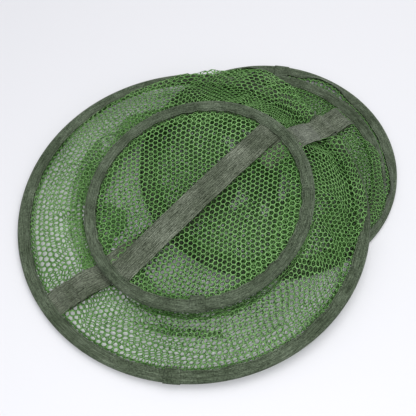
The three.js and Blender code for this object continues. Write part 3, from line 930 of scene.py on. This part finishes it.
def middle_left_strap(bearing, depth):
    """From the third hoop's slot, folded back over its tape, and out along the floor."""
    over = THIRD.at(THIRD.radius - 7, bearing, 5.0)
    end = WIDE.at(WIDE.mouth, bearing, -0.4)
    return [
        THIRD.at(THIRD.tuck, bearing, 0.2),
        THIRD.at(THIRD.mouth, bearing, 0.4),
        *THIRD.line(bearing, THIRD.mouth - depth, (0, 2.6), (-2, 3.4), (0, 4.2)),
        over,
        at_height(lerp(over, end, 0.3), 3.4),
        at_height(lerp(over, end, 0.8), 2.2),
        end,
        WIDE.at(WIDE.tuck, bearing, -0.3),
    ]


def lower_strap(bearing, depth):
    """From the mouth hoop's slot in below the third hoop, folded back, and into its slot."""
    return [
        MOUTH.flange(MOUTH.tuck - MOUTH.wire, bearing, 0.2),
        MOUTH.flange(MOUTH.mouth - MOUTH.wire, bearing, 0.2),
        *MOUTH.line(bearing, MOUTH.mouth, (-6, 1.6), (-18, 1.6)),
        *MOUTH.line(bearing, MOUTH.mouth - 18 - depth, (0, 1.8), (-2, 3.2), (0, 4.6)),
        *THIRD.line(bearing, THIRD.mouth, (-3, -0.8), (0, -0.3)),
        THIRD.at(THIRD.tuck, bearing, -0.3),
    ]


# Level, side, the function that runs it, and its seed.
SIDE_STRAPS = (
    ("upper", "right", upper_right_strap, 141), ("upper", "left", upper_left_strap, 142),
    ("middle", "right", middle_right_strap, 143), ("middle", "left", middle_left_strap, 144),
    ("lower", "right", lower_strap, 145), ("lower", "left", lower_strap, 146),
)


def make_side_strap(level, side, run, seed):
    """A strap sewn outside a side net, from the lower hoop to the upper one."""
    bearing = STRAP_BEARING if side == "right" else STRAP_BEARING + math.pi
    centre = fitted_line(lambda depth: run(bearing, depth), CLOTH)
    across = np.array([-math.sin(bearing), math.cos(bearing), 0])
    name = f"{level}_strap_{side}"
    strap = make_strap(name + "_webbing", centre, across, seed)
    share = np.repeat(np.linspace(0, 1, len(centre)), len(STRAP_OUTLINE))
    blend_by_share(strap, share)
    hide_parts(name)
    return strap


# ---- Materials ----
WHITE = (1.0, 1.0, 1.0)
NETTING_COLOURS = ((0.226, 0.380, 0.168), (0.325, 0.495, 0.250))
BINDING_COLOURS = ((0.068, 0.084, 0.059), (0.322, 0.370, 0.292))
WEBBING_COLOURS = ((0.072, 0.083, 0.061), (0.415, 0.445, 0.375))
THREAD_COLOURS = ((0.030, 0.038, 0.026), (0.075, 0.090, 0.062))
STEEL_COLOUR = (0.33, 0.34, 0.35)
FERRULE_COLOUR = (0.52, 0.53, 0.54)
FADED = (0.60, 0.63, 0.58)          # what worn cloth's colour is multiplied by,
PAINTED_GAP_SHADE = (0.42, 0.45, 0.42)  # the painted shade of the gaps in its weave,
STRAND_SHADE = (0.66, 0.72, 0.64)   # and what a net strand's darker fibres are
DRAWN_SHADE = 0.8


class Nodes:
    """Short calls for building a material's node tree."""

    def __init__(self, name, roughness):
        self.material = bpy.data.materials.new(name)
        self.material.use_nodes = True
        self.tree = self.material.node_tree
        self.shader = self.tree.nodes["Principled BSDF"]
        self.surface(Roughness=roughness)

    def feed(self, socket, value):
        """Links a socket to another node's output, or sets a plain value on it."""
        if hasattr(value, "links"):
            self.tree.links.new(value, socket)
        else:
            socket.default_value = value

    def fill(self, node, inputs):
        """Feeds a node's sockets by name. An underscore stands for a space."""
        for key, value in inputs.items():
            self.feed(node.inputs[key.replace("_", " ")], value)
        return node

    def surface(self, **inputs):
        self.fill(self.shader, inputs)

    def node(self, kind, **inputs):
        return self.fill(self.tree.nodes.new(kind), inputs)

    def math(self, operation, *values):
        made = self.node("ShaderNodeMath")
        made.operation = operation
        for socket, value in zip(made.inputs, values):
            self.feed(socket, value)
        return made.outputs[0]

    def times(self, a, b):
        return self.math("MULTIPLY", a, b)

    def plus(self, a, b):
        return self.math("ADD", a, b)

    def ramp(self, value, *stops):
        """Colours from a value, by stops of (place, colour)."""
        made = self.node("ShaderNodeValToRGB")
        for element, (place, colour) in zip(made.color_ramp.elements, stops):
            element.position = place
            element.color = (*colour, 1)
        self.feed(made.inputs[0], value)
        return made.outputs[0]

    def multiply(self, share, a, b):
        """Colour a, multiplied by colour b as far as share says."""
        made = self.node("ShaderNodeMix")
        made.data_type = "RGBA"
        made.blend_type = "MULTIPLY"
        for socket, value in ((0, share), (6, a), (7, b)):
            self.feed(made.inputs[socket], value)
        return made.outputs[2]

    def noise(self, scale, detail, vector=None, roughness=0.5):
        """Noise in the piece's own space unless vector is given, with scale features a metre."""
        made = self.node("ShaderNodeTexNoise", Scale=scale, Detail=detail, Roughness=roughness)
        if vector is None:
            vector = self.node("ShaderNodeTexCoord").outputs["Object"]
        self.feed(made.inputs["Vector"], vector)
        return made.outputs["Fac"]

    def bump(self, height, strength, distance, **under):
        """The normal of a relief in metres. Normal=... may give another bump under it."""
        made = self.node("ShaderNodeBump", Strength=strength, Distance=distance, Height=height, **under)
        return made.outputs[0]


def netting_material():
    n = Nodes("netting", 0.42)
    dark, light = NETTING_COLOURS
    broad = n.noise(14, 2)
    fine = n.noise(420, 2)
    colour = n.ramp(broad, (0.3, dark), (0.7, light))
    shade = n.ramp(fine, (0.35, STRAND_SHADE), (0.65, WHITE))
    n.surface(
        Base_Color=n.multiply(1.0, colour, shade),
        Roughness=n.math("MULTIPLY_ADD", fine, 0.25, 0.3),
        Normal=n.bump(n.noise(1500, 1), 0.35, 0.0002),
        Specular_IOR_Level=0.45,
    )
    return n.material


def woven_material(name, colours, rib_pitch, row_pitch, rib_share, roughness):
    """Woven cloth. Ribs repeat across it and rows along it, at pitches in metres. rib_share is how
    much of the relief is ribs. The relief is also painted into the colour as painted shade, lighter on
    the ribs and darker between them. Faded streaks run along it, and dark flecks of painted shade
    stand for the shaded gaps between the yarns."""
    n = Nodes(name, roughness)
    dark, light = colours
    uv = n.node("ShaderNodeUVMap")
    uv.uv_map = "weave"
    u, v, _ = n.node("ShaderNodeSeparateXYZ", Vector=uv.outputs[0]).outputs
    wobble = n.times(n.noise(170, 2), rib_pitch * 1.4)
    rows = n.math("SINE", n.times(n.plus(u, wobble), TURN / row_pitch))
    ribs = n.math("SINE", n.times(n.plus(v, wobble), TURN / rib_pitch))
    height = n.plus(n.times(ribs, rib_share), n.times(rows, 1 - rib_share))
    stretched = n.node("ShaderNodeCombineXYZ", X=n.times(u, 60.0), Y=n.times(v, 900.0))
    streaks = n.noise(1.0, 3, stretched.outputs[0], 0.6)
    # Painted shade: the weave's relief height goes into the colour, lighter on the ribs and darker between
    # them.
    rib_shade_and_streaks = n.plus(n.times(height, 0.2), n.times(streaks, 1.3))
    rib_shade_and_streaks = n.plus(rib_shade_and_streaks, n.times(n.noise(520, 3), 0.9))
    yarn = n.ramp(n.times(rib_shade_and_streaks, 0.45), (0.3, dark), (0.72, light))
    broad = n.ramp(n.noise(30, 4, roughness=0.65), (0.32, FADED), (0.66, WHITE))
    # Painted shade: dark flecks stand for the shaded gaps between the yarns.
    flecks = n.ramp(n.noise(900, 2), (0.32, PAINTED_GAP_SHADE), (0.46, WHITE))
    fibre = n.bump(n.noise(2600, 2), 0.3, 0.0002)
    n.surface(
        Base_Color=n.multiply(0.7, n.multiply(1.0, yarn, broad), flecks),
        Normal=n.bump(height, 0.6, 0.0003, Normal=fibre),
        Sheen_Weight=0.2,
        Sheen_Roughness=0.5,
        Specular_IOR_Level=0.25,
    )
    return n.material


def thread_material():
    n = Nodes("thread", 0.6)
    dark, light = THREAD_COLOURS
    colour = n.ramp(n.noise(600, 2), (0.3, dark), (0.7, light))
    n.surface(Base_Color=colour, Normal=n.bump(n.noise(5200, 1), 0.3, 0.0001))
    return n.material


def metal_material(name, colour, roughness):
    n = Nodes(name, roughness)
    drawn = n.noise(900, 2)
    shaded = n.ramp(drawn, (0.3, tuple(c * DRAWN_SHADE for c in colour)), (0.7, colour))
    n.surface(Base_Color=shaded, Metallic=1.0, Normal=n.bump(drawn, 0.15, 0.0002))
    return n.material


def dress(material, *pieces):
    for piece in pieces:
        piece.data.materials.clear()
        piece.data.materials.append(material)


# ---- Camera, floor and lights ----
CAMERA_HEIGHT_ANGLE = math.radians(58.86)
CAMERA_DISTANCE = 957.65  # millimetres
CAMERA_AIM = Vector((WIDE.centre[0] + 16.73, WIDE.centre[1] + 14.0, 0))
FIELD_OF_VIEW = math.radians(28)
FLOOR_HALF_SIDE = 40.0    # metres
FLOOR_COLOUR = (0.695, 0.695, 0.715, 1)
SKY_COLOUR = (0.96, 0.97, 1.0, 1)
SKY_STRENGTH = 0.36
# Name, place and side in metres, power in watts and colour. The fill is in line with the camera.
LIGHTS = (
    ("key", (0.6, 0.95, 1.8), 1.8, 11.5, (1.0, 0.995, 0.98)),
    ("fill", (0, -0.9, 1.49), 0.4, 9.8, (0.995, 0.995, 0.99)),
)


def set_camera():
    data = bpy.data.cameras.new("camera")
    data.angle = FIELD_OF_VIEW
    camera = add_object("camera", data)
    back = Vector((0, -math.cos(CAMERA_HEIGHT_ANGLE), math.sin(CAMERA_HEIGHT_ANGLE)))
    camera.location = (CAMERA_AIM + back * CAMERA_DISTANCE) * MM
    camera.rotation_euler = (-back).to_track_quat("-Z", "Y").to_euler()
    data.clip_start = 0.01
    bpy.context.scene.camera = camera


def set_floor():
    corners = np.array([(-1, -1, 0), (1, -1, 0), (1, 1, 0), (-1, 1, 0)]) * FLOOR_HALF_SIDE
    floor = new_mesh("floor", corners / MM, [[0, 1, 2, 3]], smooth=False)
    n = Nodes("floor", 0.7)
    n.surface(Base_Color=FLOOR_COLOUR, Specular_IOR_Level=0.2)
    dress(n.material, floor)


def area_light(name, place, side, power, colour):
    """A square light that faces the trap's middle."""
    data = bpy.data.lights.new(name, "AREA")
    data.shape = "RECTANGLE"
    data.size = side
    data.size_y = side
    data.energy = power
    data.color = colour
    light = add_object(name, data)
    light.location = place
    light.rotation_euler = (-Vector(place)).to_track_quat("-Z", "Y").to_euler()


def set_lights():
    for light in LIGHTS:
        area_light(*light)
    world = bpy.data.worlds.new("world")
    world.use_nodes = True
    background = world.node_tree.nodes["Background"]
    background.inputs["Color"].default_value = SKY_COLOUR
    background.inputs["Strength"].default_value = SKY_STRENGTH
    bpy.context.scene.world = world
    view = bpy.context.scene.view_settings
    view.view_transform = "Standard"
    view.look = "Very High Contrast"


# ---- The whole scene ----
set_camera()
set_floor()
set_lights()

netting = netting_material()
binding = woven_material("binding_tape", BINDING_COLOURS, 0.0018, 0.0015, 0.4, 0.85)
webbing = woven_material("webbing", WEBBING_COLOURS, 0.0022, 0.0014, 0.5, 0.8)
thread = thread_material()
steel = metal_material("spring_steel", STEEL_COLOUR, 0.35)
ferrule_metal = metal_material("ferrule_metal", FERRULE_COLOUR, 0.42)

dress(netting, *make_side_nets(), make_base_net())
for hoop, lap_bearing, seed in LAPS:
    dress(binding, *make_tape(hoop, lap_bearing, seed))
    dress(thread, make_stitches(hoop, seed))
    dress(steel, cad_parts[hoop.body + "_wire"])
    dress(ferrule_metal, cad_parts[hoop.body + "_ferrule"])
dress(webbing, make_handle_strap())
for level, side, run, seed in SIDE_STRAPS:
    dress(webbing, make_side_strap(level, side, run, seed))
